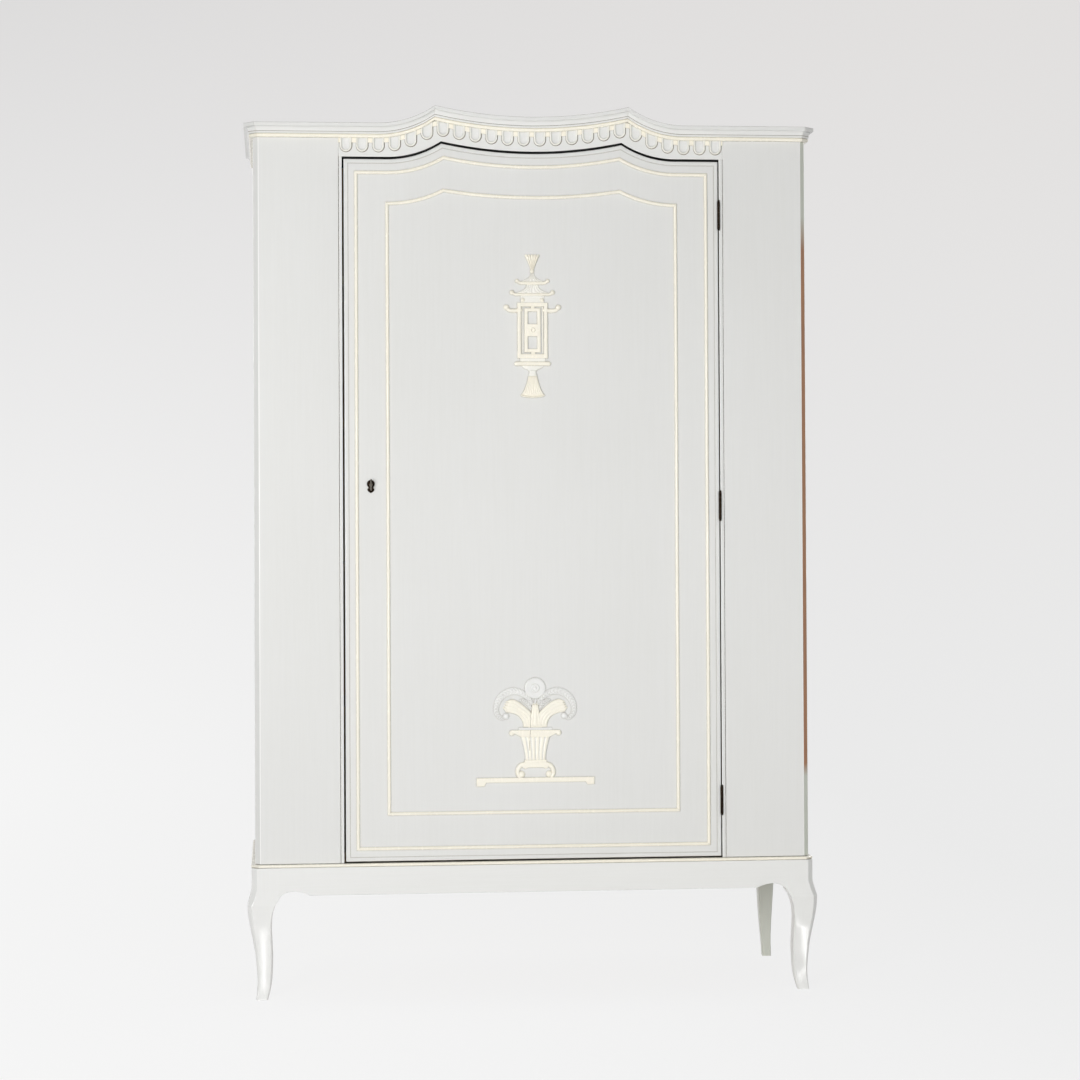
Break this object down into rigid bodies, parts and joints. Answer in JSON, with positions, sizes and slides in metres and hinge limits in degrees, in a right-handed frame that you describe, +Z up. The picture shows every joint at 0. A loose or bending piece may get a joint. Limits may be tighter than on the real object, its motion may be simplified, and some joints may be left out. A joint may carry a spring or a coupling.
{
  "type": "cupboard",
  "caption": "Tall painted cupboard on cabriole legs, with a crossbow cornice, a carved frieze and one locking door with applied beads and ornaments.",
  "frame": {"origin": "on the floor, under the middle of the overall box", "axes": "+Z up, front and door towards -Y, +X to the right as seen from the front"},
  "size_m": [1.229, 0.52, 1.9],
  "materials": {
    "grey_paint": "pale grey gloss paint on wood",
    "cream_paint": "cream gloss paint on wood",
    "bare_wood": "bare wood, light oil",
    "lock_steel": "worn steel",
    "dark_brass": "darkened brass"
  },
  "bodies": {
    "case": {"front_leg_left": "grey_paint", "front_leg_right": "grey_paint", "back_leg_left": "grey_paint", "back_leg_right": "grey_paint", "apron_front": "grey_paint", "apron_left": "grey_paint", "apron_right": "grey_paint", "apron_back": "grey_paint", "side_left": "grey_paint", "side_right": "grey_paint", "top_rail": "grey_paint", "front_panel_left": "grey_paint", "front_panel_right": "grey_paint", "door_post_left": "grey_paint", "door_post_right": "grey_paint", "frieze_board": "grey_paint", "cornice_front_left": "grey_paint", "cornice_front_centre": "grey_paint", "cornice_front_right": "grey_paint", "cornice_return_left": "grey_paint", "cornice_return_right": "grey_paint", "base_moulding_front": "cream_paint", "base_moulding_left": "cream_paint", "base_moulding_right": "cream_paint", "bottom_board": "bare_wood", "shelf_1": "bare_wood", "shelf_2": "bare_wood", "shelf_3": "bare_wood", "shelf_4": "bare_wood", "top_board": "bare_wood", "back_panel": "bare_wood", "hinge_1_frame_leaf": "dark_brass", "hinge_1_pin": "dark_brass", "hinge_2_frame_leaf": "dark_brass", "hinge_2_pin": "dark_brass", "hinge_3_frame_leaf": "dark_brass", "hinge_3_pin": "dark_brass", "strike_plate": "lock_steel"},
    "door": {"door_panel": "grey_paint", "lantern_ornament": "cream_paint", "urn_ornament": "cream_paint", "escutcheon": "dark_brass", "lock_case": "lock_steel", "bead_outer_left": "cream_paint", "bead_outer_right": "cream_paint", "bead_outer_bottom": "cream_paint", "bead_outer_top": "cream_paint", "bead_inner_left": "cream_paint", "bead_inner_right": "cream_paint", "bead_inner_bottom": "cream_paint", "bead_inner_top": "cream_paint", "hinge_1_door_leaf": "dark_brass", "hinge_2_door_leaf": "dark_brass", "hinge_3_door_leaf": "dark_brass"},
    "key": {"key": "lock_steel"},
    "bolt": {"lock_bolt": "lock_steel"}
  },
  "joints": [
    {"name": "door_hinge", "type": "hinge", "parent": "case", "child": "door", "pos_m": [0.4045, -0.2394, 1.04], "axis": [0, 0, 1], "range_deg": [0, 165]},
    {"name": "key_turn", "type": "hinge", "parent": "door", "child": "key", "pos_m": [-0.34725, -0.235, 1.091], "axis": [0, -1, 0], "range_deg": [0, 360]},
    {"name": "bolt_slide", "type": "slide", "parent": "door", "child": "bolt", "axis": [-1, 0, 0], "range_m": [0, 0.0105]}
  ],
  "couplings": [
    {"joint": "key_turn", "follows": "bolt_slide", "rad_per_m": 598.4}
  ]
}
